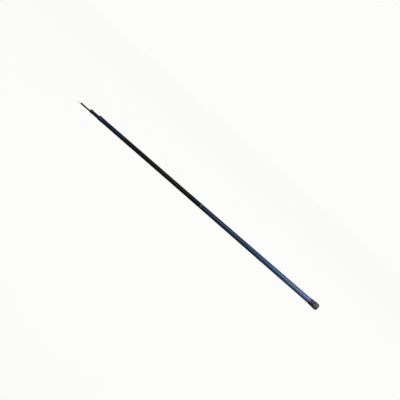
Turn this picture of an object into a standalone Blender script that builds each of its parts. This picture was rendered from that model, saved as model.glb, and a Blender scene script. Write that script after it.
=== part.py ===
"""A telescopic pole rod, closed: a tapered butt blank with the next sections nested in it, a solid tip
that ends in a knotted braid, and a butt cap that screws into a ferrule.

Metres, +Z up. The pole lies along X with the middle of its butt end face at the origin and its tip
towards -X. Every piece is drawn about its own Z, which runs from the butt towards the tip, with its
own X up, and the frame empty lays them down."""

import math

import bmesh
import bpy
from mathutils import Vector

# Butt blank
BUTT_MOUTH_AT = 1.0508  # from the butt end face to the mouth
BUTT_MOUTH_DIAMETER = 0.0172
BUTT_FRONT_LENGTH = 0.408  # the nearly straight stretch behind the mouth
BUTT_FRONT_RISE = 0.0004  # diameter gained along it, behind the locking taper
BUTT_SWELL = 0.0036  # diameter gained from there to the butt end
BUTT_WALL = 0.0010  # at the butt end
BUTT_MIDDLE_WALL = 0.00065  # where the front stretch meets the swell
BUTT_MOUTH_WALL = 0.0008  # along the locking taper

# Nested sections: how far each one's mouth stands out of the one that holds it when the pole is closed
SECTION_2_REACH = 0.0397
SECTION_2_PLAY = 0.0015  # all round, between its front end and the butt's mouth
SECTION_2_WALL = 0.0007
SECTION_3_REACH = 0.0425
SECTION_3_MOUTH_DIAMETER = 0.0060
SECTION_3_WALL = 0.00065
TIP_END_DIAMETER = 0.0012

# Locking tapers: a section pulled out wedges over this length behind the mouth that it came through
BUTT_LOCK = 0.110
SECTION_2_LOCK = 0.100
SECTION_3_LOCK = 0.090
LOCK_TAPER = 0.0014  # radius gained per unit of length
LOCK_GAP = 0.0001  # clearance all round in the locked joint
REST_GAP = 0.0001  # under a section that lies on the wall below it

# Bands wound round each mouth
BAND_SETBACK = 0.0004  # from the mouth's rim
BAND_FEATHER = 0.0015  # length over which each end slopes down
BAND_EDGE = 0.35  # share of the thickness left at each end
BUTT_BAND_LENGTH = 0.017
BUTT_BAND_THICKNESS = 0.0004
SECTION_2_BAND_LENGTH = 0.010
SECTION_2_BAND_THICKNESS = 0.0004
SECTION_3_BAND_LENGTH = 0.009
SECTION_3_BAND_THICKNESS = 0.00025

# Tip end
TIP_SLEEVE_STANDOFF = 0.0008  # in front of the mouth of the third section
TIP_SLEEVE_LENGTH = 0.006
TIP_SLEEVE_WALL = 0.0003
TIP_SLEEVE_GAP = 0.00005
BRAID_DIAMETER = 0.0009
BRAID_LENGTH = 0.0115  # from the tip's end to the braid's loose end
BRAID_DROOP = 0.0013
KNOT_DIAMETER = 0.0022
KNOT_LENGTH = 0.0026
KNOT_TAIL = 0.0016  # loose end past the knot

# Ferrule, a moulded collar over and inside the butt end of the blank
FERRULE_WALL = 0.00125
FERRULE_SLOPE = 0.0004  # radius lost towards the front
FERRULE_GRIP = 0.013  # length over the blank
FERRULE_WEB = 0.003  # between the seal's seat and the blank's end
SLEEVE_DEPTH = 0.005  # the threaded sleeve, inside the blank
SLEEVE_WALL = 0.00115
FERRULE_ROUND = 0.0008

# Screw cap, its seal and its pad
CAP_OVERHANG = 0.0011  # beyond the ferrule, all round
CAP_HEAD_LENGTH = 0.0215
CAP_END_ROUND = 0.0085
CAP_EDGE = 0.0008
THREAD_PLAY = 0.0002
SHANK_WALL = 0.0012
SHANK_SETBACK = 0.0008  # of the shank's end from the sleeve's end
SHANK_EDGE = 0.0004
FLUTE_COUNT = 36
FLUTE_RADIUS = 0.0009
FLUTE_DEPTH = 0.0005
FLUTE_MARGIN = 0.0012  # left plain at each end of the flutes
SEAL_THICKNESS = 0.0016
PAD_FLANGE = 0.0026
PAD_SPIGOT = 0.005
PAD_EDGE = 0.0005

SEAT_GAP = 0.0003  # between faces that touch
GLUE_GAP = 0.0001  # between glued or wound pieces
EDGE_BREAK = 0.3  # share of a blank's wall taken off each edge of its rims

ROUND_STEPS = 36
SMALL_STEPS = 24
ARC_POINTS = 7
SEAL_SIDES = 10
FLUTE_SIDES = 12
FLUTE_RINGS = 7  # odd, so that none lies on a rod's middle


class Blank:
    """A tapered blank. Its stations are (height above its base, outer radius, wall), from the base up."""

    def __init__(self, stations):
        self.stations = stations
        self.length = stations[-1][0]

    def outer(self, height):
        return self.between(height, 1)

    def wall(self, height):
        return self.between(height, 2)

    def bore(self, height):
        return self.outer(height) - self.wall(height)

    def between(self, height, column):
        for low, high in zip(self.stations, self.stations[1:]):
            if height <= high[0]:
                break
        share = (height - low[0]) / (high[0] - low[0])
        return low[column] + (high[column] - low[column]) * share


class Nest:
    """How a section lies in its holder when the pole is closed, and where it goes when pulled out.
    It rests on the mouth's lower lip, and its base sinks as far as the bore lets it. Pulled out, the
    middle of its lock comes onto the holder's axis."""

    def __init__(self, holder, section, base_at, lock):
        mouth = holder.length - base_at
        mouth_drop = holder.bore(holder.length) - section.outer(mouth) - REST_GAP
        bends = [height for height, _, _ in section.stations]
        bends += [height - base_at for height, _, _ in holder.stations]
        inner = [height for height in bends if 0 <= height < mouth]
        self.drop = min(
            (self.room(holder, section, base_at, height) - mouth_drop * height / mouth)
            / (1 - height / mouth)
            for height in inner
        )
        self.tilt = math.atan((self.drop - mouth_drop) / mouth)
        middle = lock / 2
        self.slide_up = self.drop - middle * math.sin(self.tilt)
        self.slide_out = mouth - middle - middle * math.cos(self.tilt)
        self.travel = math.hypot(self.slide_up, self.slide_out)

    @staticmethod
    def room(holder, section, base_at, height):
        return holder.bore(base_at + height) - section.outer(height) - REST_GAP


def section_blank(length, mouth_radius, wall, holder, lock, next_lock):
    """The blank that wedges in its holder's mouth over one length and takes the next over another."""
    return Blank(
        [
            (0.0, holder.bore(holder.length - lock) - LOCK_GAP, wall),
            (lock, holder.bore(holder.length) - LOCK_GAP, wall),
            (length - next_lock, mouth_radius + LOCK_TAPER * next_lock, wall),
            (length, mouth_radius, wall),
        ]
    )


# Heights above the butt end face, from the cap up
FERRULE_BOTTOM = CAP_HEAD_LENGTH + SEAT_GAP
SEAL_AT = FERRULE_BOTTOM + SEAL_THICKNESS / 2
SEAL_SEAT = FERRULE_BOTTOM + SEAL_THICKNESS + SEAT_GAP
WEB_TOP = SEAL_SEAT + FERRULE_WEB
FERRULE_TOP = WEB_TOP + FERRULE_GRIP
SLEEVE_TOP = WEB_TOP + SLEEVE_DEPTH
SHANK_TOP = SLEEVE_TOP - SHANK_SETBACK
PAD_TOP = SHANK_TOP + SEAT_GAP + PAD_FLANGE
BUTT_BASE_AT = WEB_TOP + GLUE_GAP
SECTIONS_AT = PAD_TOP + SEAT_GAP
SECTION_2_MOUTH_AT = BUTT_MOUTH_AT + SECTION_2_REACH
SECTION_3_MOUTH_AT = SECTION_2_MOUTH_AT + SECTION_3_REACH
TIP_END_AT = SECTION_3_MOUTH_AT + TIP_SLEEVE_STANDOFF + TIP_SLEEVE_LENGTH / 2

# The blanks, each from the one outside it
BUTT_LENGTH = BUTT_MOUTH_AT - BUTT_BASE_AT
BUTT_MOUTH_RADIUS = BUTT_MOUTH_DIAMETER / 2
BUTT_SHOULDER_RADIUS = BUTT_MOUTH_RADIUS + LOCK_TAPER * BUTT_LOCK
BUTT_FRONT_RADIUS = BUTT_SHOULDER_RADIUS + BUTT_FRONT_RISE / 2
butt = Blank(
    [
        (0.0, BUTT_FRONT_RADIUS + BUTT_SWELL / 2, BUTT_WALL),
        (BUTT_LENGTH - BUTT_FRONT_LENGTH, BUTT_FRONT_RADIUS, BUTT_MIDDLE_WALL),
        (BUTT_LENGTH - BUTT_LOCK, BUTT_SHOULDER_RADIUS, BUTT_MOUTH_WALL),
        (BUTT_LENGTH, BUTT_MOUTH_RADIUS, BUTT_MOUTH_WALL),
    ]
)
section_2 = section_blank(
    SECTION_2_MOUTH_AT - SECTIONS_AT,
    BUTT_MOUTH_RADIUS - BUTT_MOUTH_WALL - SECTION_2_PLAY,
    SECTION_2_WALL,
    butt,
    BUTT_LOCK,
    SECTION_2_LOCK,
)
section_3 = section_blank(
    SECTION_3_MOUTH_AT - SECTIONS_AT,
    SECTION_3_MOUTH_DIAMETER / 2,
    SECTION_3_WALL,
    section_2,
    SECTION_2_LOCK,
    SECTION_3_LOCK,
)
tip = Blank(
    [
        (0.0, section_3.bore(section_3.length - SECTION_3_LOCK) - LOCK_GAP, 0.0),
        (SECTION_3_LOCK, section_3.bore(section_3.length) - LOCK_GAP, 0.0),
        (TIP_END_AT - SECTIONS_AT, TIP_END_DIAMETER / 2, 0.0),
    ]
)
section_2_nest = Nest(butt, section_2, SECTIONS_AT - BUTT_BASE_AT, BUTT_LOCK)
section_3_nest = Nest(section_2, section_3, 0.0, SECTION_2_LOCK)
tip_nest = Nest(section_3, tip, 0.0, SECTION_3_LOCK)

# Radii at the butt end, from the blank outwards and inwards
FERRULE_RADIUS = butt.outer(0.0) + GLUE_GAP + FERRULE_WALL
CAP_RADIUS = FERRULE_RADIUS + CAP_OVERHANG
SLEEVE_RADIUS = butt.bore(0.0) - GLUE_GAP
THREAD_BORE = SLEEVE_RADIUS - SLEEVE_WALL
SHANK_RADIUS = THREAD_BORE - THREAD_PLAY
SHANK_BORE = SHANK_RADIUS - SHANK_WALL
SEAL_RADIUS = SHANK_RADIUS + GLUE_GAP + SEAL_THICKNESS / 2
SEAL_SEAT_RADIUS = SEAL_RADIUS + SEAL_THICKNESS / 2 + THREAD_PLAY


def clear_scene():
    for obj in list(bpy.data.objects):
        bpy.data.objects.remove(obj)


def new_collection(name):
    made = bpy.data.collections.new(name)
    bpy.context.scene.collection.children.link(made)
    return made


def painted(name, colour, roughness, metallic=0.0):
    made = bpy.data.materials.new(name)
    made.use_nodes = True
    shader = made.node_tree.nodes["Principled BSDF"]
    shader.inputs["Base Color"].default_value = (*colour, 1.0)
    shader.inputs["Roughness"].default_value = roughness
    shader.inputs["Metallic"].default_value = metallic
    return made


def empty(name, parent=None, height=0.0, drop=0.0, tilt=0.0):
    """A frame on its parent's Z, this far up it and below it, leaning up towards the tip."""
    made = bpy.data.objects.new(name, None)
    made.empty_display_size = 0.02
    made.location = (-drop, 0.0, height)
    made.rotation_euler = (0.0, tilt, 0.0)
    made.parent = parent
    parts.objects.link(made)
    return made


def place(obj, material, parent, height=0.0):
    obj.data.materials.append(material)
    obj.parent = parent
    obj.location = (0.0, 0.0, height)
    parts.objects.link(obj)
    return obj


def turned(name, outline, ring, steps):
    """The outline of (radius, height) turned about Z. A ring's outline closes on itself, and any
    other one starts and ends on the axis. It runs down its outer side, half a step round from +X, so
    that the pole lies on the middle of a facet."""
    count = len(outline)
    edges = [(i, (i + 1) % count) for i in range(count if ring else count - 1)]
    across, aside = math.cos(math.pi / steps), math.sin(math.pi / steps)
    mesh = bpy.data.meshes.new(name)
    mesh.from_pydata([(radius * across, radius * aside, height) for radius, height in outline], edges, [])
    obj = bpy.data.objects.new(name, mesh)
    screw = obj.modifiers.new("Turn", "SCREW")
    screw.axis = "Z"
    screw.angle = math.tau
    screw.steps = steps
    screw.render_steps = steps
    screw.use_merge_vertices = True
    screw.merge_threshold = 0.00001
    screw.use_smooth_shade = True
    obj.modifiers.new("Shade", "WEIGHTED_NORMAL")
    return obj


def tube_outline(blank):
    """A blank's section, with the edges of its two rims taken off."""
    top = blank.length
    edge = EDGE_BREAK * min(blank.wall(0.0), blank.wall(top))
    heights = [station[0] for station in blank.stations[1:-1]]
    outside = [(blank.outer(height), height) for height in [top - edge, *reversed(heights), edge]]
    inside = [(blank.bore(height), height) for height in [edge, *heights, top - edge]]
    return [
        (blank.outer(top) - edge, top),
        *outside,
        (blank.outer(0.0) - edge, 0.0),
        (blank.bore(0.0) + edge, 0.0),
        *inside,
        (blank.bore(top) + edge, top),
    ]


def tip_outline(blank):
    side = [(radius, height) for height, radius, _ in reversed(blank.stations)]
    return [(0.0, blank.length), *side, (0.0, 0.0)]


def band_outline(blank, length, thickness):
    """A wound band that follows the blank's taper behind its mouth, with both ends sloped."""
    top = blank.length - BAND_SETBACK
    bottom = top - length

    def skin(height, share):
        return (blank.outer(height) + GLUE_GAP + share * thickness, height)

    return [
        skin(top, BAND_EDGE),
        skin(top - BAND_FEATHER, 1.0),
        skin(bottom + BAND_FEATHER, 1.0),
        skin(bottom, BAND_EDGE),
        skin(bottom, 0.0),
        skin(top, 0.0),
    ]


def tip_sleeve_outline():
    """The sleeve over the tip's end and the start of the braid."""
    inner = TIP_END_DIAMETER / 2 + TIP_SLEEVE_GAP
    outer = inner + TIP_SLEEVE_WALL
    edge = TIP_SLEEVE_WALL / 2
    half = TIP_SLEEVE_LENGTH / 2
    return [
        (outer - edge, half),
        (outer, half - edge),
        (outer, edge - half),
        (outer - edge, -half),
        (inner, -half),
        (inner, half),
    ]


def ferrule_outline():
    """A collar over the blank's end, a web behind it and a threaded sleeve inside it."""
    front = FERRULE_RADIUS - FERRULE_SLOPE
    socket = butt.outer(0.0) + GLUE_GAP
    bend = FERRULE_ROUND * (1 - math.cos(math.pi / 4))
    return [
        (front - FERRULE_ROUND, FERRULE_TOP),
        (front - bend, FERRULE_TOP - bend),
        (front, FERRULE_TOP - FERRULE_ROUND),
        (FERRULE_RADIUS, FERRULE_BOTTOM + SHANK_EDGE),
        (FERRULE_RADIUS - SHANK_EDGE, FERRULE_BOTTOM),
        (SEAL_SEAT_RADIUS, FERRULE_BOTTOM),
        (SEAL_SEAT_RADIUS, SEAL_SEAT),
        (THREAD_BORE, SEAL_SEAT),
        (THREAD_BORE, SLEEVE_TOP),
        (SLEEVE_RADIUS, SLEEVE_TOP),
        (SLEEVE_RADIUS, WEB_TOP),
        (socket, WEB_TOP),
        (socket, FERRULE_TOP),
    ]


def cap_outline():
    """The head with its rounded end, and the hollow shank that screws into the ferrule."""
    cavity = SHANK_TOP - PAD_SPIGOT - SEAT_GAP
    centre = CAP_RADIUS - CAP_END_ROUND
    angles = [math.pi / 2 * i / ARC_POINTS for i in range(ARC_POINTS + 1)]
    end = [(centre + CAP_END_ROUND * math.cos(a), CAP_END_ROUND * (1 - math.sin(a))) for a in angles]
    return [
        (0.0, cavity),
        (SHANK_BORE, cavity),
        (SHANK_BORE, SHANK_TOP),
        (SHANK_RADIUS - SHANK_EDGE, SHANK_TOP),
        (SHANK_RADIUS, SHANK_TOP - SHANK_EDGE),
        (SHANK_RADIUS, CAP_HEAD_LENGTH),
        (CAP_RADIUS - CAP_EDGE, CAP_HEAD_LENGTH),
        (CAP_RADIUS, CAP_HEAD_LENGTH - CAP_EDGE),
        *end,
        (0.0, 0.0),
    ]


def pad_outline():
    """A rubber button: its flange lies on the shank's end and its spigot fills the shank."""
    flange = SHANK_RADIUS - THREAD_PLAY
    under = SHANK_TOP + SEAT_GAP
    spigot = SHANK_BORE - GLUE_GAP
    bottom = SHANK_TOP - PAD_SPIGOT
    return [
        (0.0, PAD_TOP),
        (flange - PAD_EDGE, PAD_TOP),
        (flange, PAD_TOP - PAD_EDGE),
        (flange, under),
        (spigot, under),
        (spigot, bottom + PAD_EDGE),
        (spigot - PAD_EDGE, bottom),
        (0.0, bottom),
    ]


def flute_cutter():
    """Round-ended rods, each a ball drawn out along the cap, that stand round its head and cut its grip."""
    cutters = new_collection("cutters")
    low = CAP_END_ROUND + FLUTE_MARGIN
    high = CAP_HEAD_LENGTH - CAP_EDGE - FLUTE_MARGIN
    stretch = (high - low) / 2 - FLUTE_RADIUS
    ring = CAP_RADIUS + FLUTE_RADIUS - FLUTE_DEPTH
    shape = bmesh.new()
    for i in range(FLUTE_COUNT):
        angle = math.tau * (i + 0.5) / FLUTE_COUNT
        rod = bmesh.ops.create_uvsphere(
            shape, u_segments=FLUTE_SIDES, v_segments=FLUTE_RINGS, radius=FLUTE_RADIUS
        )
        for vert in rod["verts"]:
            vert.co.z += math.copysign(stretch, vert.co.z)
        middle = (ring * math.cos(angle), ring * math.sin(angle), (low + high) / 2)
        bmesh.ops.translate(shape, verts=rod["verts"], vec=middle)
    mesh = bpy.data.meshes.new("cap_flutes")
    shape.to_mesh(mesh)
    shape.free()
    obj = bpy.data.objects.new("cap_flutes", mesh)
    obj.hide_render = True
    obj.display_type = "WIRE"
    cutters.objects.link(obj)
    return obj


def screw_cap():
    obj = turned("screw_cap", cap_outline(), False, FLUTE_COUNT)
    cutter = flute_cutter()
    cutter.parent = frame
    cut = obj.modifiers.new("Flutes", "BOOLEAN")
    cut.operation = "DIFFERENCE"
    cut.object = cutter
    obj.modifiers.move(obj.modifiers.find("Flutes"), 1)
    return obj


def cap_seal():
    bpy.ops.mesh.primitive_torus_add(
        major_radius=SEAL_RADIUS,
        minor_radius=SEAL_THICKNESS / 2,
        major_segments=ROUND_STEPS,
        minor_segments=SEAL_SIDES,
    )
    obj = bpy.context.object
    obj.name = "cap_seal"
    for owner in list(obj.users_collection):
        owner.objects.unlink(obj)
    obj.data.shade_smooth()
    return obj


def tip_braid():
    """The braid, from the tip's end through its knot to the loose end, drooping a little."""
    knot_at = BRAID_LENGTH - KNOT_TAIL - KNOT_LENGTH / 2
    free = BRAID_LENGTH - TIP_SLEEVE_LENGTH / 2
    heights = [GLUE_GAP, TIP_SLEEVE_LENGTH / 4, TIP_SLEEVE_LENGTH / 2]
    heights += [knot_at + KNOT_LENGTH * share for share in (-0.7, -0.5, -0.3, -0.1, 0.1, 0.3, 0.5, 0.7)]
    heights += [BRAID_LENGTH]
    data = bpy.data.curves.new("tip_braid", "CURVE")
    data.dimensions = "3D"
    data.bevel_depth = BRAID_DIAMETER / 2
    data.bevel_resolution = 2
    data.use_fill_caps = True
    spline = data.splines.new("POLY")
    spline.points.add(len(heights) - 1)
    for point, height in zip(spline.points, heights):
        loose = max(0.0, height - TIP_SLEEVE_LENGTH / 2) / free
        away = min(1.0, abs(height - knot_at) / (KNOT_LENGTH / 2))
        swelling = (KNOT_DIAMETER / BRAID_DIAMETER - 1) * math.sqrt(1 - away * away)
        point.co = (-BRAID_DROOP * loose * loose, 0.0, height, 1.0)
        point.radius = 1 + swelling
    return bpy.data.objects.new("tip_braid", data)


clear_scene()
parts = new_collection("pole_rod")
frame = empty("pole_frame")
frame.rotation_euler = (0.0, -math.pi / 2, 0.0)
section_2_frame = empty("section_2_slide", frame, SECTIONS_AT, section_2_nest.drop, section_2_nest.tilt)
section_3_frame = empty("section_3_slide", section_2_frame, 0.0, section_3_nest.drop, section_3_nest.tilt)
tip_frame = empty("tip_slide", section_3_frame, 0.0, tip_nest.drop, tip_nest.tilt)
cap_frame = empty("cap_turn", frame)

place(
    turned("butt_tube", tube_outline(butt), True, ROUND_STEPS),
    painted("blue lacquer", (0.035, 0.060, 0.115), 0.25),
    frame,
    BUTT_BASE_AT,
)
place(
    turned("butt_mouth_band", band_outline(butt, BUTT_BAND_LENGTH, BUTT_BAND_THICKNESS), True, ROUND_STEPS),
    painted("navy winding", (0.012, 0.018, 0.034), 0.35),
    frame,
    BUTT_BASE_AT,
)
place(
    turned("butt_ferrule", ferrule_outline(), True, ROUND_STEPS),
    painted("black moulding", (0.030, 0.029, 0.036), 0.5),
    frame,
)
place(screw_cap(), painted("black cap moulding", (0.045, 0.044, 0.053), 0.55), cap_frame)
place(cap_seal(), painted("seal rubber", (0.012, 0.012, 0.012), 0.7), cap_frame, SEAL_AT)
place(
    turned("cap_pad", pad_outline(), False, ROUND_STEPS),
    painted("pad rubber", (0.035, 0.033, 0.030), 0.8),
    cap_frame,
)
place(
    turned("section_2_tube", tube_outline(section_2), True, ROUND_STEPS),
    painted("blue-black lacquer", (0.010, 0.016, 0.024), 0.25),
    section_2_frame,
)
place(
    turned(
        "section_2_mouth_band",
        band_outline(section_2, SECTION_2_BAND_LENGTH, SECTION_2_BAND_THICKNESS),
        True,
        ROUND_STEPS,
    ),
    painted("blue-black winding", (0.010, 0.014, 0.020), 0.35),
    section_2_frame,
)
place(
    turned("section_3_tube", tube_outline(section_3), True, ROUND_STEPS),
    painted("black lacquer", (0.016, 0.016, 0.017), 0.25),
    section_3_frame,
)
place(
    turned(
        "section_3_mouth_band",
        band_outline(section_3, SECTION_3_BAND_LENGTH, SECTION_3_BAND_THICKNESS),
        True,
        ROUND_STEPS,
    ),
    painted("black winding", (0.014, 0.014, 0.015), 0.35),
    section_3_frame,
)
place(
    turned("tip_section", tip_outline(tip), False, SMALL_STEPS),
    painted("dark glass fibre", (0.020, 0.020, 0.020), 0.3),
    tip_frame,
)
place(
    turned("tip_sleeve", tip_sleeve_outline(), True, SMALL_STEPS),
    painted("shrunk sleeve", (0.010, 0.010, 0.010), 0.5),
    tip_frame,
    tip.length,
)
place(tip_braid(), painted("grey braid", (0.12, 0.12, 0.12), 0.85), tip_frame, tip.length)

for name, holder, nest in (
    ("section_2", frame, section_2_nest),
    ("section_3", section_2_frame, section_3_nest),
    ("tip", section_3_frame, tip_nest),
):
    bpy.context.view_layer.update()
    way = holder.matrix_world.to_3x3() @ Vector((nest.slide_up, 0.0, nest.slide_out))
    print(f"{name} slides {nest.travel:.4f} m along", [round(share, 6) for share in way.normalized()])
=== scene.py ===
# A closed telescopic pole: smooth turned blanks, wound mouth bands, a fluted screw cap and a knotted braid
import math

import bpy
import numpy as np
from mathutils import Matrix, Vector


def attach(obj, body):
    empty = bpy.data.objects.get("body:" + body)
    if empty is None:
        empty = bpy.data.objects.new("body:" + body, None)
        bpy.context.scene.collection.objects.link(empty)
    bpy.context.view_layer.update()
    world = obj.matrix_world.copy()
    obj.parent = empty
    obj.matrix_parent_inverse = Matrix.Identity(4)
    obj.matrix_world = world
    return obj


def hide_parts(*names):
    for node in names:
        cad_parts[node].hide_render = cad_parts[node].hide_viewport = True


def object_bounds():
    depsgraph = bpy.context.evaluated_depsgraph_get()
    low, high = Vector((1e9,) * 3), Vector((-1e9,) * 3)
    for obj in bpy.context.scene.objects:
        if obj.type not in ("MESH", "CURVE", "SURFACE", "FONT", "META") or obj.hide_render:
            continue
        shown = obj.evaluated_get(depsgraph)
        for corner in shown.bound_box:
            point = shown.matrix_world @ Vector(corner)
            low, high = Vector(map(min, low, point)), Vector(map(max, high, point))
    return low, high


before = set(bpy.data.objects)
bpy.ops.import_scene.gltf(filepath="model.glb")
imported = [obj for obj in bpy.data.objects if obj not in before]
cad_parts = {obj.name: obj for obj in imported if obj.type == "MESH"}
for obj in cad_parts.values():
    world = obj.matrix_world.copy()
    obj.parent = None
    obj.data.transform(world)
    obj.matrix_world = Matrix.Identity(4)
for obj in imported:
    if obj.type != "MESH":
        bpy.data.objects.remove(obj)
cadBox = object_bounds()
print("frame loaded:", len(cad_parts), "nodes")


class Wire:
    # a socket of a node tree that works in plain sums
    def __init__(self, bench, socket):
        self.bench = bench
        self.socket = socket

    def part(self, name):
        return Wire(self.bench, self.socket.node.outputs[name])

    def maths(self, operation, *others):
        return self.bench.maths(operation, self, *others)

    def __add__(self, other):
        return self.maths("ADD", other)

    __radd__ = __add__

    def __sub__(self, other):
        return self.maths("SUBTRACT", other)

    def __rsub__(self, other):
        return self.bench.maths("SUBTRACT", other, self)

    def __mul__(self, other):
        return self.maths("MULTIPLY", other)

    __rmul__ = __mul__

    def __truediv__(self, other):
        return self.maths("DIVIDE", other)

    def __rtruediv__(self, other):
        return self.bench.maths("DIVIDE", other, self)

    def __abs__(self):
        return self.maths("ABSOLUTE")

    def fraction(self):
        return self.maths("FRACT")

    def root(self):
        return self.maths("SQRT")

    def cosine(self):
        return self.maths("COSINE")

    def sine(self):
        return self.maths("SINE")

    def atLeast(self, other):
        return self.maths("MAXIMUM", other)

    def rise(self, low, high):
        # from 0 at low to 1 at high, smoothly
        spans = {0: self, 1: low, 2: high, 3: 0.0, 4: 1.0}
        return self.bench.add("ShaderNodeMapRange", {"interpolation_type": "SMOOTHSTEP"}, spans)


class Bench:
    # a node tree, and the one way to put a node on it
    def __init__(self, tree):
        self.tree = tree

    def add(self, kind, settings=None, inputs=None):
        node = self.tree.nodes.new(kind)
        for name, value in (settings or {}).items():
            if name == "stops":
                fillRamp(node.color_ramp, value)
            else:
                setattr(node, name, value)
        for name, value in (inputs or {}).items():
            if isinstance(value, Wire):
                self.tree.links.new(value.socket, node.inputs[name])
            else:
                node.inputs[name].default_value = value
        shown = [socket for socket in node.outputs if socket.enabled]
        return Wire(self, shown[0]) if shown else node

    def maths(self, operation, *terms):
        return self.add("ShaderNodeMath", {"operation": operation}, dict(enumerate(terms)))

    def vector(self, operation, *terms):
        return self.add("ShaderNodeVectorMath", {"operation": operation}, dict(enumerate(terms)))

    def scaled(self, vector, factor):
        return self.add("ShaderNodeVectorMath", {"operation": "SCALE"}, {0: vector, "Scale": factor})

    def axes(self, vector):
        return self.add("ShaderNodeSeparateXYZ", {}, {0: vector})

    def ramp(self, share, stops):
        return self.add("ShaderNodeValToRGB", {"stops": stops}, {0: share})

    def blend(self, share, low, high):
        # a mix of two colours
        return self.add("ShaderNodeMix", {"data_type": "RGBA"}, {0: share, 6: low, 7: high})


def fillRamp(ramp, stops):
    while len(ramp.elements) < len(stops):
        ramp.elements.new(1.0)
    for element, (place, colour) in zip(ramp.elements, stops):
        element.position = place
        element.color = colour


# Materials

def tint(red, green, blue):
    # 8-bit screen values as a colour
    shares = [value / 255 for value in (red, green, blue)]
    return (*[s / 12.92 if s <= 0.04045 else ((s + 0.055) / 1.055) ** 2.4 for s in shares], 1.0)


def dimmed(colour, factor):
    return (*[value * factor for value in colour[:3]], 1.0)


def newMaterial(name, constants):
    material = bpy.data.materials.new(name)
    material.use_nodes = True
    shader = material.node_tree.nodes["Principled BSDF"]
    for socket, value in constants.items():
        shader.inputs[socket].default_value = value
    return material, Bench(material.node_tree)


def finishWith(bench, wires):
    shader = bench.tree.nodes["Principled BSDF"]
    for socket, wire in wires.items():
        bench.tree.links.new(wire.socket, shader.inputs[socket])


def objectPlace(bench):
    return bench.add("ShaderNodeTexCoord").part("Object")


def surfacePlace(bench):
    # the share of a turn round a turned piece and the metres along it, from its UV map
    across = bench.axes(bench.add("ShaderNodeTexCoord").part("UV"))
    return across.part("X"), across.part("Y")


def bumped(bench, height, depth, under=None):
    # height of 0 to 1 as a bump of this depth in metres
    inputs = {"Height": height, "Distance": depth, "Strength": 1.0}
    if under:
        inputs["Normal"] = under
    return bench.add("ShaderNodeBump", {}, inputs)


def noise(bench, where, scale, detail=2.0, roughness=0.5):
    inputs = {"Vector": where, "Scale": scale, "Detail": detail, "Roughness": roughness}
    return bench.add("ShaderNodeTexNoise", {}, inputs)


def ridges(turns):
    # 1 at each whole turn and 0 half way between
    return (turns * math.tau).cosine() * 0.5 + 0.5


blankFinish = {"tapePitch": 0.0026, "tapeDepth": 0.000004, "rippleScale": 260.0, "rippleDepth": 0.00001}


def blankMarks(bench):
    # the spiral left by the wrapping tape under the lacquer, and the lacquer's own slow ripple
    f = blankFinish
    turn, along = surfacePlace(bench)
    ridge = ridges(along / f["tapePitch"] - turn)
    where = objectPlace(bench)
    ripple = noise(bench, where, f["rippleScale"])
    tape = bumped(bench, ridge, f["tapeDepth"])
    return where, ripple, bumped(bench, ripple, f["rippleDepth"], tape)


buttFinish = {
    "shader": {
        "Roughness": 0.38,
        "Specular IOR Level": 0.14,
        "Specular Tint": (0.45, 0.45, 0.5, 1.0),
        "Coat Weight": 0.15,
        "Coat Roughness": 0.07,
        "Coat IOR": 1.4,
    },
    "length": 1.06,  # the ramps run this far from the butt
    "blue": [  # metres from the butt, and the colour of the metallic blue there, brightened toward the butt by a painted pool of light
        (0.030, tint(86, 103, 138)),
        (0.120, tint(75, 94, 128)),
        (0.230, tint(54, 73, 106)),
        (0.330, tint(42, 58, 86)),
        (0.480, tint(38, 54, 76)),
        (0.560, tint(28, 42, 58)),
    ],
    "black": [  # and of the black, lightened away from the butt as painted light against the lamps' falloff, which turns blue again towards the mouth
        (0.560, tint(12, 14, 19)),
        (0.680, tint(17, 19, 25)),
        (0.800, tint(24, 25, 31)),
        (0.912, tint(26, 27, 32)),
        (0.942, tint(27, 45, 58)),
        (0.972, tint(26, 44, 62)),
        (1.060, tint(25, 42, 63)),
    ],
    "edge": 0.5620,  # where the blue meets the black
    "edgeBlur": 0.0001,
    "ring": 0.0030,  # width of the silver line there
    "ringBlur": 0.00015,
    "silver": tint(84, 94, 106),
    "metal": [  # how metallic the lacquer is
        (0.0, 0.36),
        (0.40, 0.28),
        (0.56, 0.2),
        (0.60, 0.0),
        (0.91, 0.0),
        (0.95, 0.1),
        (1.06, 0.1),
    ],
    "flakeScale": 8500.0,
    "flakeShare": 0.6,  # of the flakes in the change of shade, the rest being the ripple's
    "rippleShare": 0.4,
    "dark": 0.76,
    "light": 1.32,
}


def buttLacquer():
    f = buttFinish
    material, bench = newMaterial("blue lacquer with painted light toward the butt, then black", f["shader"])
    where, ripple, normal = blankMarks(bench)
    x = bench.axes(where).part("X") * -1.0
    share = x / f["length"]
    # the blue ramp carries a painted pool of light that brightens toward the butt
    blue, black = [
        # the black ramp is painted lighter away from the butt, where the lamps give less light
        bench.ramp(share, [(place / f["length"], colour) for place, colour in f[name]])
        for name in ("blue", "black")
    ]
    half, edge = f["ring"] / 2, f["edge"]
    nearRing = abs(x - edge).rise(half + f["ringBlur"], half - f["ringBlur"])
    painted = bench.blend(x.rise(edge - f["edgeBlur"], edge + f["edgeBlur"]), blue, black)
    lined = bench.blend(nearRing, painted, f["silver"])
    cells = bench.add("ShaderNodeTexVoronoi", {}, {"Vector": where, "Scale": f["flakeScale"]})
    flake = bench.axes(cells.part("Color")).part("X")
    varied = flake * f["flakeShare"] + ripple * f["rippleShare"]
    colour = bench.blend(varied, bench.scaled(lined, f["dark"]), bench.scaled(lined, f["light"]))
    levels = [(place / f["length"], (level, level, level, 1.0)) for place, level in f["metal"]]
    finishWith(bench, {"Base Color": colour, "Metallic": bench.ramp(share, levels), "Normal": normal})
    return material


sectionFinish = {
    "level": 0.14,
    "roughness": 0.24,
    "rippleRoughness": 0.1,
    "dark": 0.8,
    "light": 1.25,
    "ground": tint(52, 53, 55),  # where the wedge lock has rubbed it matt
    "groundShare": 0.6,
    "groundRoughness": 0.28,
    "groundBlur": 0.004,
}


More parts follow.
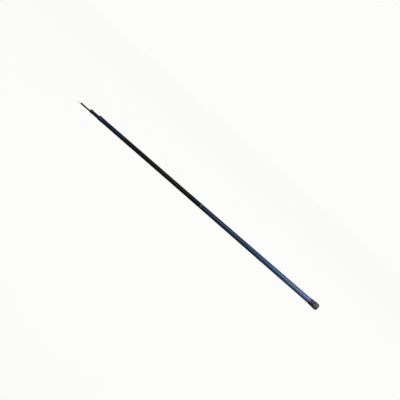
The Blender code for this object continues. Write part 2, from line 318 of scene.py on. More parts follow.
def sectionLacquer(name, colour, lockFrom):
    # plain lacquer, ground matt where the section wedges in the mouth of the one outside it
    f = sectionFinish
    material, bench = newMaterial(name, {"Specular IOR Level": f["level"]})
    where, ripple, normal = blankMarks(bench)
    ground = bench.axes(where).part("X").rise(lockFrom - f["groundBlur"], lockFrom + f["groundBlur"])
    mixed = bench.blend(ripple, dimmed(colour, f["dark"]), dimmed(colour, f["light"]))
    dusty = bench.blend(ground * f["groundShare"], mixed, f["ground"])
    rough = ripple * f["rippleRoughness"] + ground * f["groundRoughness"] + f["roughness"]
    finishWith(bench, {"Base Color": dusty, "Roughness": rough, "Normal": normal})
    return material


boreFinish = {
    "level": 0.3,
    "warps": 40,  # threads of the cloth round the bore
    "weft": 0.0012,  # pitch of those across them
    "depth": 0.00002,
    "roughness": 0.5,
    "weaveRoughness": 0.15,
    "dark": tint(24, 25, 26),
    "light": tint(38, 39, 40),
}


def rawBore():
    # bare laminate, with the weave of the cloth that it was rolled from
    f = boreFinish
    material, bench = newMaterial("bare laminate", {"Specular IOR Level": f["level"]})
    turn, along = surfacePlace(bench)
    warp = (turn * (math.tau * f["warps"])).sine()
    weft = (along * (math.tau / f["weft"])).sine()
    weave = warp * weft * 0.5 + 0.5
    colour = bench.blend(weave, f["dark"], f["light"])
    rough = weave * f["weaveRoughness"] + f["roughness"]
    normal = bumped(bench, weave, f["depth"])
    finishWith(bench, {"Base Color": colour, "Roughness": rough, "Normal": normal})
    return material


threadFinish = {
    "level": 0.3,
    "grooveShadeShare": 0.35,
    "dyeShare": 0.2,
    "poolShare": 0.3,
    "dark": 0.55,
    "light": 1.6,
    "poolScale": 900.0,
    "poolDepth": 0.000012,
    "roughness": 0.2,
    "poolRoughness": 0.2,
}


def woundThread(name, colour, pitch):
    # resin-coated thread: the ridges are in the mesh, the dye varies from turn to turn, and the colour has
    # painted shade in the grooves between turns and a painted highlight on their crowns
    f = threadFinish
    material, bench = newMaterial(name, {"Specular IOR Level": f["level"]})
    turn, along = surfacePlace(bench)
    turns = along / pitch - turn
    dye = bench.add("ShaderNodeTexWhiteNoise", {"noise_dimensions": "1D"}, {"W": turns.maths("FLOOR")})
    pools = noise(bench, objectPlace(bench), f["poolScale"])
    # the ridges term is painted shade between turns and a painted highlight on the crowns; dye and pools are
    # the thread's own colour
    varied = ridges(turns) * f["grooveShadeShare"] + dye * f["dyeShare"] + pools * f["poolShare"]
    mixed = bench.blend(varied, dimmed(colour, f["dark"]), dimmed(colour, f["light"]))
    rough = pools * f["poolRoughness"] + f["roughness"]
    normal = bumped(bench, pools, f["poolDepth"])
    finishWith(bench, {"Base Color": mixed, "Roughness": rough, "Normal": normal})
    return material


mouldingFinish = {
    "grainDetail": 3.0,
    "grainRoughness": 0.6,
    "flowScale": 140.0,
    "flowDetail": 1.0,
    "flowShare": 0.6,
    "grainShare": 0.4,
    "dark": 0.82,
    "light": 1.2,
    "flowWear": 0.12,
    "grainWear": 0.1,
}


def moulding(name, colour, roughness, grainScale, grainDepth, level=0.5):
    # moulded plastic or rubber with a fine spark-eroded grain and slow flow marks
    f = mouldingFinish
    material, bench = newMaterial(name, {"Specular IOR Level": level})
    where = objectPlace(bench)
    grain = noise(bench, where, grainScale, f["grainDetail"], f["grainRoughness"])
    flow = noise(bench, where, f["flowScale"], f["flowDetail"])
    varied = flow * f["flowShare"] + grain * f["grainShare"]
    mixed = bench.blend(varied, dimmed(colour, f["dark"]), dimmed(colour, f["light"]))
    lowest = roughness - (f["flowWear"] + f["grainWear"]) / 2
    worn = flow * f["flowWear"] + grain * f["grainWear"] + lowest
    finishWith(bench, {"Base Color": mixed, "Roughness": worn, "Normal": bumped(bench, grain, grainDepth)})
    return material


fibreFinish = {
    "shader": {"Roughness": 0.8, "Specular IOR Level": 0.2, "Sheen Weight": 0.15},
    "scale": 5200.0,
    "depth": 0.00001,
    "dark": tint(52, 53, 55),
    "light": tint(108, 108, 108),
}


def braidFibre():
    f = fibreFinish
    material, bench = newMaterial("grey braid", f["shader"])
    fibres = noise(bench, objectPlace(bench), f["scale"])
    colour = bench.blend(fibres, f["dark"], f["light"])
    finishWith(bench, {"Base Color": colour, "Normal": bumped(bench, fibres, f["depth"])})
    return material


print("material helpers ready")


# Turned pieces

turned = {
    "endReach": 3e-5,  # corners this near the furthest one lie on the same end
    "sameRing": 2e-5,
    "bluntest": math.radians(8),  # a turn of the outline below this stays as it is
    "cornerShare": 0.4,  # most of a side that one rounded corner may take
    "onAxis": 1e-7,
}


def readTurned(name):
    # the middle of the butt end, the way to the tip and the outline of a turned CAD node
    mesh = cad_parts[name].data
    points = np.array([vertex.co[:] for vertex in mesh.vertices])
    corners = np.unique(np.round(points, 7), axis=0)
    near = corners[corners[:, 0] > corners[:, 0].max() - turned["endReach"]].mean(axis=0)
    far = corners[corners[:, 0] < corners[:, 0].min() + turned["endReach"]].mean(axis=0)
    way = (far - near) / np.linalg.norm(far - near)
    along = (points - near) @ way
    radius = np.linalg.norm(points - near - along[:, None] * way, axis=1)
    rings, owner = [], []
    for here in zip(along, radius):
        close = [i for i, ring in enumerate(rings) if math.dist(ring, here) < turned["sameRing"]]
        if not close:
            rings.append(here)
        owner.append(close[0] if close else len(rings) - 1)
    joined = {i: set() for i in range(len(rings))}
    for face in mesh.polygons:
        ends = {owner[i] for i in face.vertices}
        for one in ends:
            joined[one] |= ends - {one}
    tips = [i for i in joined if len(joined[i]) == 1]
    order = [tips[0] if tips else 0]
    while True:
        onward = [i for i in joined[order[-1]] if i not in order]
        if not onward:
            break
        order.append(onward[0])
    outline = [tuple(rings[i]) for i in order]
    if tips:
        outline = [(outline[0][0], 0.0), *outline, (outline[-1][0], 0.0)]
    return Vector(near), Vector(way), outline, not tips


def area(outline):
    ends = zip(outline, outline[1:] + outline[:1])
    return sum(a[0] * b[1] - b[0] * a[1] for a, b in ends) / 2


def soften(outline, closed, size, points=4):
    # rounds each corner of an outline by a short curve
    made = []
    count = len(outline)
    for i, here in enumerate(outline):
        x, y = here
        if not closed and i in (0, count - 1):
            made.append(here)
            continue
        before, after = outline[i - 1], outline[(i + 1) % count]
        back, ahead = math.dist(before, here), math.dist(after, here)
        turn = math.atan2(y - before[1], x - before[0]) - math.atan2(after[1] - y, after[0] - x)
        turn = abs((turn + math.pi) % math.tau - math.pi)
        if turn < turned["bluntest"]:
            made.append(here)
            continue
        reach = min(size, turned["cornerShare"] * back, turned["cornerShare"] * ahead)
        start = [c + (p - c) * reach / back for c, p in zip(here, before)]
        end = [c + (n - c) * reach / ahead for c, n in zip(here, after)]
        for k in range(points + 1):
            t = k / points
            ways = zip(start, here, end)
            made.append(tuple((1 - t) ** 2 * s + 2 * t * (1 - t) * c + t * t * e for s, c, e in ways))
    return made


def divide(outline, closed, low, high, step):
    # adds rings to the sides that reach between two distances along the piece
    made = []
    count = len(outline)
    for i, here in enumerate(outline):
        made.append(here)
        if not closed and i == count - 1:
            break
        there = outline[(i + 1) % count]
        a, b = sorted((here[0], there[0]))
        if min(here[1], there[1]) <= 0 or b <= low or a >= high or b - a < step:
            continue
        cuts = max(1, round((b - a) / step))
        for k in range(1, cuts):
            t = k / cuts
            made.append(tuple(h + (n - h) * t for h, n in zip(here, there)))
    return made


def turnedMesh(name, near, way, outline, closed, segments):
    # the outline turned about its axis, with its distance along, its turn and its way out kept on every point
    if area(outline) < 0:
        outline = outline[::-1]
    up = (Vector((0, 0, 1)) - way * way.z).normalized()
    side = way.cross(up)
    points, alongs, turns, outs, rings = [], [], [], [], []
    for along, radius in outline:
        middle = near + way * along
        if radius < turned["onAxis"]:
            rings.append([len(points)] * segments)
            points.append(middle)
            alongs.append(along)
            turns.append(0.0)
            outs.append((0.0, 0.0, 0.0))
            continue
        rings.append(list(range(len(points), len(points) + segments)))
        for j in range(segments):
            angle = math.tau * j / segments
            out = up * math.cos(angle) + side * math.sin(angle)
            points.append(middle + out * radius)
            alongs.append(along)
            turns.append(j / segments)
            outs.append(out)
    faces, uvs = [], []
    pairs = list(zip(rings, rings[1:])) + ([(rings[-1], rings[0])] if closed else [])
    places = list(zip(outline, outline[1:])) + ([(outline[-1], outline[0])] if closed else [])
    for (low, high), (a, b) in zip(pairs, places):
        for j in range(segments):
            k = (j + 1) % segments
            corners = [(low[j], j, a[0]), (high[j], j, b[0]), (high[k], j + 1, b[0]), (low[k], j + 1, a[0])]
            if low[j] == low[k]:
                corners.pop(3)
            if high[j] == high[k]:
                corners.pop(2)
            faces.append([corner[0] for corner in corners])
            uvs += [(corner[1] / segments, corner[2]) for corner in corners]
    mesh = bpy.data.meshes.new(name)
    mesh.from_pydata(points, [], faces)
    layer = mesh.uv_layers.new(name="UVMap")
    layer.data.foreach_set("uv", np.array(uvs, dtype=np.float32).ravel())
    for label, values in (("along", alongs), ("turn", turns)):
        mesh.attributes.new(label, "FLOAT", "POINT").data.foreach_set("value", values)
    flat = [c for out in outs for c in out]
    mesh.attributes.new("out", "FLOAT_VECTOR", "POINT").data.foreach_set("vector", flat)
    mesh.shade_smooth()
    return mesh


def newPiece(name, mesh, *materials):
    piece = bpy.data.objects.new(name, mesh)
    for material in materials:
        mesh.materials.append(material)
    bpy.context.scene.collection.objects.link(piece)
    return piece


def settle(piece):
    # what the piece's modifiers make of it becomes its plain mesh
    graph = bpy.context.evaluated_depsgraph_get()
    changed = piece.evaluated_get(graph)
    mesh = bpy.data.meshes.new_from_object(changed, preserve_all_data_layers=True, depsgraph=graph)
    mesh.name = piece.name
    piece.modifiers.clear()
    piece.data = mesh
    return piece


def evenShade(piece):
    piece.modifiers.new("Shade", "WEIGHTED_NORMAL").keep_sharp = True
    return settle(piece)


def standFor(piece, body, node):
    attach(piece, body)
    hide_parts(node)
    print(f"{piece.name}: {len(piece.data.polygons)} faces")
    return piece


# Geometry trees

def newTree(name, sizes):
    tree = bpy.data.node_groups.new(name, "GeometryNodeTree")
    tree.interface.new_socket("Geometry", in_out="INPUT", socket_type="NodeSocketGeometry")
    for label, value in sizes.items():
        kind = "NodeSocketInt" if isinstance(value, int) else "NodeSocketFloat"
        tree.interface.new_socket(label, in_out="INPUT", socket_type=kind).default_value = value
    tree.interface.new_socket("Geometry", in_out="OUTPUT", socket_type="NodeSocketGeometry")
    bench = Bench(tree)
    return bench, bench.add("NodeGroupInput")


def closeTree(bench, geometry, material):
    real = bench.add("GeometryNodeRealizeInstances", {}, {0: geometry})
    painted = bench.add("GeometryNodeSetMaterial", {}, {0: real, "Material": material})
    bench.add("NodeGroupOutput", {}, {0: painted})
    return bench.tree


def runTree(piece, tree, values):
    step = piece.modifiers.new(tree.name, "NODES")
    step.node_group = tree
    for item in tree.interface.items_tree:
        if item.in_out == "INPUT" and item.name in values:
            step[item.identifier] = values[item.name]
    return settle(piece)


def stored(bench, name, kind="FLOAT"):
    return bench.add("GeometryNodeInputNamedAttribute", {"data_type": kind}, {"Name": name})


def pushedOut(bench, geometry, height):
    # every point moves along its way out by this height
    offset = bench.scaled(stored(bench, "out", "FLOAT_VECTOR"), height)
    return bench.add("GeometryNodeSetPosition", {}, {"Geometry": geometry, "Offset": offset})


def fromAxis(bench):
    # distance from the pole's axis, for the pieces that stand on it
    axis = bench.axes(bench.add("GeometryNodeInputPosition"))
    return (axis.part("Y") * axis.part("Y") + axis.part("Z") * axis.part("Z")).root()


def fadedEnds(along, given):
    # two shares: their product is 1 between From and To, and falls to 0 at each over the length of a ramp
    low, high, ramp = given.part("From"), given.part("To"), given.part("Ramp")
    return along.rise(low, low + ramp), along.rise(high, high - ramp)


def windingTree(material):
    # one thread wound side by side between two distances along a band
    sizes = {"Pitch": 0.00028, "Height": 0.000045, "From": 0.0, "To": 0.018, "Ramp": 0.0008}
    bench, given = newTree("thread winding", sizes)
    along = stored(bench, "along")
    crown = ridges(along / given.part("Pitch") - stored(bench, "turn"))
    start, stop = fadedEnds(along, given)
    height = crown.root() * given.part("Height") * start * stop
    return closeTree(bench, pushedOut(bench, given.part("Geometry"), height), material)


def threadTree(material):
    # a screw thread: positive height for one on the outside, negative for one in a bore
    sizes = {
        "Pitch": 0.0015,
        "Height": 0.0005,
        "Crest": 0.13,
        "Flank": 0.2,
        "Phase": 0.0,
        "From": 0.0,
        "To": 0.01,
        "Ramp": 0.001,
        "Inner": 0.0,
        "Outer": 1.0,
    }
    bench, given = newTree("screw thread", sizes)
    along = stored(bench, "along")
    turns = along / given.part("Pitch") - stored(bench, "turn") + given.part("Phase")
    crest = given.part("Crest")
    profile = abs(turns.fraction() - 0.5).rise(crest + given.part("Flank"), crest)
    start, stop = fadedEnds(along, given)
    radius = fromAxis(bench)
    inside = radius.maths("GREATER_THAN", given.part("Inner"))
    outside = radius.maths("LESS_THAN", given.part("Outer"))
    height = profile * given.part("Height") * (start * stop) * inside * outside
    return closeTree(bench, pushedOut(bench, given.part("Geometry"), height), material)


def fluteTree(material):
    # round-bottomed flutes with open ends, side by side round the cap
    sizes = {
        "Count": 36.0,
        "Radius": 0.0009,
        "Depth": 0.0005,
        "From": 0.0097,
        "To": 0.0195,
        "Cap radius": 0.01315,
    }
    bench, given = newTree("grip flutes", sizes)
    along = stored(bench, "along")
    count, wide, capRadius = given.part("Count"), given.part("Radius"), given.part("Cap radius")
    u = ((stored(bench, "turn") * count).fraction() - 0.5) * capRadius * (math.tau / count)
    middle = (given.part("From") + given.part("To")) * 0.5
    stretch = (given.part("To") - given.part("From")) * 0.5 - wide
    w = (abs(along - middle) - stretch).atLeast(0.0)
    floor = (wide * wide - u * u - w * w).atLeast(0.0).root() - wide + given.part("Depth")
    skirt = fromAxis(bench).rise(capRadius * 0.9, capRadius * 0.95)  # the cap's outer side only
    height = floor.atLeast(0.0) * skirt * -1.0
    return closeTree(bench, pushedOut(bench, given.part("Geometry"), height), material)


def braidTree(material):
    # strands that pass over and under each other round a path
    sizes = {
        "Strands": 8,
        "Points": 300,
        "Pitch": 0.0034,
        "Strand radius": 0.000095,
        "Core radius": 0.0002,
        "Weave": 0.00007,
        "Fray from": 0.012,
        "Fray to": 0.014,
        "Fray": 0.0004,
    }
    bench, given = newTree("braid", sizes)
    line = bench.add("GeometryNodeMeshToCurve", {}, {0: given.part("Geometry")})
    curved = bench.add("GeometryNodeCurveSplineType", {"spline_type": "CATMULL_ROM"}, {"Curve": line})
    even = bench.add("GeometryNodeResampleCurve", {}, {"Curve": curved, "Count": given.part("Points")})
    amount = {"Geometry": even, "Amount": given.part("Strands")}
    copies = bench.add("GeometryNodeDuplicateElements", {"domain": "SPLINE"}, amount)
    number = copies.part("Duplicate Index")
    half = (number * 0.5).maths("FLOOR")
    hand = (number * 0.5).fraction() * -4.0 + 1.0  # 1 and -1 by turns
    length = bench.add("GeometryNodeSplineParameter").part("Length")
    swept = length * (math.tau / given.part("Pitch"))
    angle = hand * swept + half * (math.tau / 4)
    luck = bench.add("ShaderNodeTexWhiteNoise", {"noise_dimensions": "1D"}, {"W": number})
    loose = length.rise(given.part("Fray from"), given.part("Fray to")) * luck * given.part("Fray")
    radius = given.part("Core radius") + hand * (swept * 4.0).cosine() * given.part("Weave") + loose
    normal = bench.add("GeometryNodeInputNormal")
    other = bench.vector("CROSS_PRODUCT", bench.add("GeometryNodeInputTangent"), normal)
    one = bench.scaled(normal, radius * angle.cosine())
    two = bench.scaled(other, radius * angle.sine())
    offset = bench.vector("ADD", one, two)
    strands = bench.add("GeometryNodeSetPosition", {}, {"Geometry": copies, "Offset": offset})
    section = {"Resolution": 6, "Radius": given.part("Strand radius")}
    circle = bench.add("GeometryNodeCurvePrimitiveCircle", {}, section)
    tube = {"Curve": strands, "Profile Curve": circle, "Fill Caps": True}
    return closeTree(bench, bench.add("GeometryNodeCurveToMesh", {}, tube), material)


# Blanks and the windings round their mouths

blankSizes = {"rimRound": 0.00012}
windingSizes = {
    "rimRound": 0.00008,
    "pitch": 0.00028,
    "height": 0.000045,
    "margin": 0.0004,  # from each end of the band to its first turn
    "ramp": 0.0008,
    "ringMargin": 0.0002,
    "ringsPerTurn": 7,
}
boreLaminate = rawBore()


def blank(name, body, node, lacquer, segments):
    near, way, outline, closed = readTurned(node)
    outline = soften(outline, closed, blankSizes["rimRound"])
    mesh = turnedMesh(name, near, way, outline, closed, segments)
    piece = newPiece(name, mesh, lacquer, boreLaminate)
    # faces that look at the axis are the bore
    for face in mesh.polygons:
        outward = face.center - near
        outward -= way * outward.dot(way)
        face.material_index = int(face.normal.dot(outward.normalized()) < -0.5)
    return standFor(evenShade(piece), body, node)


def band(name, body, node, thread, segments):
    s = windingSizes
    near, way, outline, closed = readTurned(node)
    length = max(along for along, _ in outline)
    outline = soften(outline, closed, s["rimRound"], 3)
    step = s["pitch"] / s["ringsPerTurn"]
    outline = divide(outline, closed, s["ringMargin"], length - s["ringMargin"], step)
    piece = newPiece(name, turnedMesh(name, near, way, outline, closed, segments))
    values = {
        "Pitch": s["pitch"],
        "Height": s["height"],
        "From": s["margin"],
        "To": length - s["margin"],
        "Ramp": s["ramp"],
    }
    runTree(piece, windingTree(thread), values)
    return standFor(piece, body, node)


butt = {"segments": 128, "bandSegments": 96, "thread": tint(24, 40, 64)}
navyThread = woundThread("navy winding", butt["thread"], windingSizes["pitch"])
blank("buttBlank", "butt", "butt_tube", buttLacquer(), butt["segments"])
band("buttMouthWinding", "butt", "butt_mouth_band", navyThread, butt["bandSegments"])

# Sections that draw out, each with the X of the front end of its wedge lock

section2 = {
    "segments": 112,
    "bandSegments": 84,
    "lockFrom": -0.1441,
    "lacquer": tint(26, 39, 53),
    "thread": tint(20, 27, 36),
}
blackBlue = sectionLacquer("blue-black lacquer", section2["lacquer"], section2["lockFrom"])
blueBlackThread = woundThread("blue-black winding", section2["thread"], windingSizes["pitch"])
blank("section2Blank", "section_2", "section_2_tube", blackBlue, section2["segments"])
band(
    "section2MouthWinding",
    "section_2",
    "section_2_mouth_band",
    blueBlackThread,
    section2["bandSegments"],
)

section3 = {
    "segments": 96,
    "bandSegments": 60,
    "lockFrom": -0.1341,
    "lacquer": tint(14, 14, 15),
    "thread": tint(30, 30, 31),
}
plainBlack = sectionLacquer("black lacquer", section3["lacquer"], section3["lockFrom"])
blackThread = woundThread("black winding", section3["thread"], windingSizes["pitch"])
blank("section3Blank", "section_3", "section_3_tube", plainBlack, section3["segments"])
band(
    "section3MouthWinding",
    "section_3",
    "section_3_mouth_band",
    blackThread,
    section3["bandSegments"],
)

tip = {"segments": 48, "lockFrom": -0.1241, "lacquer": tint(18, 18, 19)}
tipLacquer = sectionLacquer("dark glass fibre", tip["lacquer"], tip["lockFrom"])
blank("solidTip", "tip", "tip_section", tipLacquer, tip["segments"])

# Sleeve and braid at the tip

sleeveSizes = {
    "segments": 40,
    "over": 0.00095,  # radius where it covers the tip
    "waist": 0.00066,  # and where it has shrunk onto the braid
    "bore": 0.00062,
    "neck": 0.00040,
    "length": 0.006,
    "skin": {
        "colour": tint(24, 24, 25),
        "roughness": 0.5,
        "grainScale": 2600.0,
        "grainDepth": 0.000012,
        "level": 0.3,
    },
}


def shrunkSleeve():
    near, way, _, closed = readTurned("tip_sleeve")
    s = sleeveSizes
    over, waist, length = s["over"], s["waist"], s["length"]
    outline = [
        (0.0, over - 0.00016),
        (0.00012, over - 0.00004),
        (0.0004, over),
        (0.0024, over),
        (0.0030, over - 0.00002),
        (0.0034, over - 0.00010),
        (0.0039, waist + 0.00004),
        (0.0045, waist),
        (0.0057, waist + 0.00002),
        (0.00592, waist - 0.00004),
        (length, waist - 0.00012),
        (length, s["neck"]),
        (0.0041, s["neck"]),
        (0.0033, s["bore"]),
        (0.0, s["bore"]),
    ]
    mesh = turnedMesh("shrunkSleeve", near, way, outline, closed, s["segments"])
    skin = moulding("shrunk sleeve", **s["skin"])
    return standFor(evenShade(newPiece("shrunkSleeve", mesh, skin)), "tip", "tip_sleeve")


braidSizes = {
    "start": 0.0002,  # from the tip's end
    "length": 0.0114,
    "freeFrom": 0.003,  # it hangs from here on
    "droop": 0.0013,
    "cord": 0.00072,
    "knotAt": 0.0086,
    "frayed": 0.0011,  # length of the loose end
    "leadPoints": 12,  # of the path before the knot
    "tailPoints": 5,  # and after it
}
# the middle line of an overhand knot to its own middle, in cord widths along, up and aside
knotPath = [
    (-2.25, 0.0, -0.01), (-1.74, 0.0, -0.01), (-1.23, -0.01, -0.01), (-0.73, 0.0, 0.07), (-0.36, -0.15, 0.37),
    (-0.04, -0.50, 0.51), (0.29, -0.84, 0.41), (0.63, -1.01, 0.10), (0.89, -0.95, -0.31), (1.03, -0.67, -0.70),
    (1.02, -0.24, -0.93), (0.87, 0.22, -0.96), (0.59, 0.58, -0.77), (0.29, 0.75, -0.42), (0.0, 0.78, 0.0),
]


def knottedBraid():
    near, way, outline, _ = readTurned("tip_section")
    end = near + way * max(along for along, _ in outline)
    s = braidSizes
    back = [(-along, up, -aside) for along, up, aside in reversed(knotPath[:-1])]
    knot = [(s["knotAt"] + s["cord"] * a, s["cord"] * u, s["cord"] * v) for a, u, v in knotPath + back]
    lead = [(along, 0.0, 0.0) for along in np.linspace(s["start"], knot[0][0], s["leadPoints"])[:-1]]
    tail = [(along, 0.0, 0.0) for along in np.linspace(knot[-1][0], s["length"], s["tailPoints"])[1:]]
    points = []
    for along, up, aside in lead + knot + tail:
        loose = max(0.0, along - s["freeFrom"]) / (s["length"] - s["freeFrom"])
        points.append(end + way * along + Vector((0, aside, up - s["droop"] * loose * loose)))
    mesh = bpy.data.meshes.new("knottedBraid")
    mesh.from_pydata(points, [(i, i + 1) for i in range(len(points) - 1)], [])
    piece = newPiece("knottedBraid", mesh)
    length = sum((b - a).length for a, b in zip(points, points[1:]))
    runTree(piece, braidTree(braidFibre()), {"Fray from": length - s["frayed"], "Fray to": length})
    piece.data.shade_smooth()
    return standFor(piece, "tip", "tip_braid")


shrunkSleeve()
knottedBraid()

# Butt end, with lengths measured from the end of the cap

capThread = {
    "pitch": 0.0015,
    "slack": 0.00005,  # the thread moves only the points this near its own radius
}

ferruleSizes = {
    "segments": 180,
    "rimRound": 0.00025,
    "ringsFrom": 0.0230,
    "ringsTo": 0.0320,
    "ringStep": 0.0001,
    "threadFrom": 0.0239,
    "threadTo": 0.0315,
    "threadDepth": 0.0005,
    "ramp": 0.0008,
    "crest": 0.08,
    "flank": 0.19,
    "skin": {
        "colour": tint(41, 40, 47),
        "roughness": 0.46,
        "grainScale": 2200.0,
        "grainDepth": 0.00002,
        "level": 0.35,
    },
}


def ferrule():
    s = ferruleSizes
    near, way, outline, closed = readTurned("butt_ferrule")
    outline = soften([(along - near.x, radius) for along, radius in outline], closed, s["rimRound"])
    bore = min(radius for _, radius in outline)
    outline = divide(outline, closed, s["ringsFrom"], s["ringsTo"], s["ringStep"])
    piece = newPiece("buttFerrule", turnedMesh("buttFerrule", Vector(), way, outline, closed, s["segments"]))
    skin = moulding("ferrule moulding", **s["skin"])
    values = {
        "Pitch": capThread["pitch"],
        "Height": -s["threadDepth"],
        "Crest": s["crest"],
        "Flank": s["flank"],
        "Phase": 0.5,  # its crests lie in the roots of the cap's thread
        "From": s["threadFrom"],
        "To": s["threadTo"],
        "Ramp": s["ramp"],
        "Outer": bore + capThread["slack"],
    }
    runTree(piece, threadTree(skin), values)
    return standFor(evenShade(piece), "butt", "butt_ferrule")


capSizes = {
    "segments": 360,
    "radius": 0.01315,
    "headLength": 0.0215,
    "endRound": 0.0085,
    "endPoints": 17,
    "rimBevel": 0.0008,
    "edgeRound": 0.0003,
    "fluteFrom": 0.0097,
    "fluteTo": 0.0195,
    "fluteMargin": 0.001,  # the rings for the flutes keep this far from the head's ends
    "fluteStep": 0.00033,
    "neckRadius": 0.0083039,
    "neckEnd": 0.0236,
    "neckSlope": 0.0003,
    "rootRadius": 0.00775,
    "threadAfter": 0.0004,  # from the neck to the start of the thread
    "threadBefore": 0.0001,  # and from its stop to the end of the shank
    "threadHeight": 0.00054,
    "threadStep": 0.00012,
    "ramp": 0.0009,
    "crest": 0.13,
    "flank": 0.2,
    "shankEnd": 0.0309,
    "bore": 0.0071039,
    "cavity": 0.0256,
    "skin": {"colour": tint(64, 62, 70), "roughness": 0.4, "grainScale": 1500.0, "grainDepth": 0.00003},
}


def screwCap():
    s = capSizes
    r, end, head = s["radius"], s["endRound"], s["headLength"]
    neckEnd, shankEnd = s["neckEnd"], s["shankEnd"]
    turns = np.linspace(0, math.pi / 2, s["endPoints"])
    outline = [
        (0.0, 0.0),
        *[(end * (1 - math.cos(a)), r - end + end * math.sin(a)) for a in turns],
        (head - s["rimBevel"], r),
        (head, r - s["rimBevel"]),
        (head, s["neckRadius"]),
        (neckEnd, s["neckRadius"]),
        (neckEnd + s["neckSlope"], s["rootRadius"]),
        (shankEnd, s["rootRadius"]),
        (shankEnd, s["bore"]),
        (s["cavity"], s["bore"]),
        (s["cavity"], 0.0),
    ]
    outline = soften(outline, False, s["edgeRound"])
    outline = divide(outline, False, end + s["fluteMargin"], head - s["fluteMargin"], s["fluteStep"])
    outline = divide(outline, False, neckEnd, shankEnd, s["threadStep"])
    mesh = turnedMesh("screwCap", Vector(), Vector((-1, 0, 0)), outline, False, s["segments"])
    piece = newPiece("screwCap", mesh)
    skin = moulding("cap moulding", **s["skin"])
    runTree(piece, fluteTree(skin), {"From": s["fluteFrom"], "To": s["fluteTo"], "Cap radius": r})
    values = {
        "Pitch": capThread["pitch"],
        "Height": s["threadHeight"],
        "Crest": s["crest"],
        "Flank": s["flank"],
        "From": neckEnd + s["threadAfter"],
        "To": shankEnd - s["threadBefore"],
        "Ramp": s["ramp"],
        "Inner": s["rootRadius"] - capThread["slack"],
        "Outer": s["rootRadius"] + capThread["slack"],
    }
    runTree(piece, threadTree(skin), values)
    return standFor(evenShade(piece), "cap", "screw_cap")


sealSizes = {
    "segments": 120,
    "sides": 24,
    "radius": 0.0008,
    "skin": {
        "colour": tint(30, 30, 30),
        "roughness": 0.6,
        "grainScale": 1800.0,
        "grainDepth": 0.00001,
        "level": 0.4,
    },
}


def capSeal():
    s = sealSizes
    near, way, outline, _ = readTurned("cap_seal")
    along, out = np.mean(outline, axis=0)
    turns = np.linspace(0, math.tau, s["sides"] + 1)[:-1]
    ring = [(along + s["radius"] * math.cos(a), out + s["radius"] * math.sin(a)) for a in turns]
    mesh = turnedMesh("capSeal", near, way, ring, True, s["segments"])
    rubber = moulding("seal rubber", **s["skin"])
    return standFor(newPiece("capSeal", mesh, rubber), "cap_carrier", "cap_seal")


padSizes = {
    "segments": 96,
    "rimRound": 0.0003,
    "skin": {
        "colour": tint(52, 50, 48),
        "roughness": 0.75,
        "grainScale": 1300.0,
        "grainDepth": 0.00003,
        "level": 0.4,
    },
}


def capPad():
    s = padSizes
    near, way, outline, closed = readTurned("cap_pad")
    # its rim stays clear of the crests of the ferrule's thread
    outline = [(along, min(radius, capSizes["rootRadius"])) for along, radius in outline]
    outline = soften(outline, closed, s["rimRound"])
    mesh = turnedMesh("capPad", near, way, outline, closed, s["segments"])
    rubber = moulding("pad rubber", **s["skin"])
    return standFor(evenShade(newPiece("capPad", mesh, rubber)), "cap", "cap_pad")


ferrule()
screwCap()
capSeal()
capPad()
print("pieces ready")

# Floor, light and camera

stage = {
    "reach": 8,  # half the floor's side
    "backdrop": (0.974, 0.974, 0.957, 1.0),
    "glow": 0.984,  # the backdrop's strength on the floor
    "mirrored": 0.16,  # share of it in reflections
    "paper": (0.016, 0.016, 0.0158, 1.0),  # takes the shadow under the glow
    "sheet": (0.05, 0.05, 0.049, 1.0),  # the floor as all other light finds it
    "white": (1.0, 1.0, 1.0, 1.0),
    "ambient": 0.13,
    "walls": 0.35,  # the room's strength in reflections
    "ceilingLoss": 0.2,
    "wallTop": 0.1,
    "ceilingFrom": 0.75,
}


def paleFloor():
    s = stage
    reach, level = s["reach"], cadBox[0][2]
    corners = [(-reach, -reach, level), (reach, -reach, level), (reach, reach, level), (-reach, reach, level)]
    mesh = bpy.data.meshes.new("floor")
    mesh.from_pydata(corners, [], [(0, 1, 2, 3)])
    material = bpy.data.materials.new("pale floor")
    material.use_nodes = True
    tree = material.node_tree
    tree.nodes.remove(tree.nodes["Principled BSDF"])
    bench = Bench(tree)
    path = bench.add("ShaderNodeLightPath")
    seen = path.part("Is Camera Ray").atLeast(path.part("Is Transmission Ray"))
    seen = seen.atLeast(path.part("Is Glossy Ray") * s["mirrored"])
    glow = bench.add("ShaderNodeEmission", {}, {"Color": s["backdrop"], "Strength": s["glow"]})
    paper = bench.add("ShaderNodeBsdfDiffuse", {}, {"Color": s["paper"]})
    sheet = bench.add("ShaderNodeBsdfDiffuse", {}, {"Color": s["sheet"]})
    shown = bench.add("ShaderNodeAddShader", {}, {0: glow, 1: paper})
    mixed = bench.add("ShaderNodeMixShader", {}, {0: seen, 1: sheet, 2: shown})
    tree.links.new(mixed.socket, tree.nodes["Material Output"].inputs["Surface"])
    floor = newPiece("floor", mesh, material)


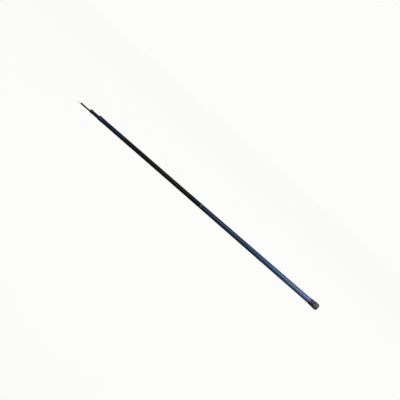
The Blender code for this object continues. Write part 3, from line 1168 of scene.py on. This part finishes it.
def paleWorld():
    s = stage
    world = bpy.data.worlds.new("pale room")
    bpy.context.scene.world = world
    world.use_nodes = True
    tree = world.node_tree
    bench = Bench(tree)
    path = bench.add("ShaderNodeLightPath")
    seen = path.part("Is Camera Ray").atLeast(path.part("Is Transmission Ray"))
    height = bench.axes(bench.add("ShaderNodeTexCoord").part("Generated")).part("Z")
    walls = s["walls"] - height.rise(s["wallTop"], s["ceilingFrom"]) * s["ceilingLoss"]
    dim = bench.add("ShaderNodeBackground", {}, {"Color": s["white"], "Strength": s["ambient"]})
    room = bench.add("ShaderNodeBackground", {}, {"Color": s["white"], "Strength": walls})
    pale = bench.add("ShaderNodeBackground", {}, {"Color": s["backdrop"], "Strength": 1.0})
    lit = bench.add("ShaderNodeMixShader", {}, {0: path.part("Is Glossy Ray"), 1: dim, 2: room})
    mixed = bench.add("ShaderNodeMixShader", {}, {0: seen, 1: lit, 2: pale})
    tree.links.new(mixed.socket, tree.nodes["World Output"].inputs["Surface"])


lamps = {
    "key": {"place": (0.3, -1.85, 1.22), "target": (-0.3, 0.0, 0.0), "size": (2.4, 1.1), "power": 42.0},
    "back": {"place": (-0.7, 1.9, 1.3), "target": (-0.5, 0.0, 0.0), "size": (2.4, 1.0), "power": 15.0},
    "side": {"place": (1.3, -0.9, 1.3), "target": (0.0, 0.0, 0.0), "size": (0.5, 0.5), "power": 26.0},
}


def facing(place, target):
    return Matrix.Translation(place) @ (target - place).to_track_quat("-Z", "Y").to_matrix().to_4x4()


def softbox(name, place, target, size, power):
    data = bpy.data.lights.new(name, "AREA")
    data.shape = "RECTANGLE"
    data.size, data.size_y = size
    data.energy = power
    lamp = bpy.data.objects.new(name, data)
    lamp.matrix_world = facing(Vector(place), Vector(target))
    bpy.context.scene.collection.objects.link(lamp)


view = {
    "target": (-0.5784, 0.0, 0.0148),
    "distance": 4.017,
    "elevation": 6.0,
    "roll": 41.05,
    "lens": 100.0,
    "sensor": 36.0,
    "clip": 60.0,
}


def lookAt():
    data = bpy.data.cameras.new("camera")
    data.lens = view["lens"]
    data.sensor_width = view["sensor"]
    data.clip_end = view["clip"]
    camera = bpy.data.objects.new("camera", data)
    lift = math.radians(view["elevation"])
    target = Vector(view["target"])
    place = target + view["distance"] * Vector((0.0, -math.cos(lift), math.sin(lift)))
    camera.matrix_world = facing(place, target) @ Matrix.Rotation(math.radians(view["roll"]), 4, "Z")
    bpy.context.scene.collection.objects.link(camera)
    bpy.context.scene.camera = camera


paleFloor()
paleWorld()
for name, lamp in lamps.items():
    softbox(name, **lamp)
lookAt()
bpy.context.scene.view_settings.view_transform = "Standard"
print("stage ready")
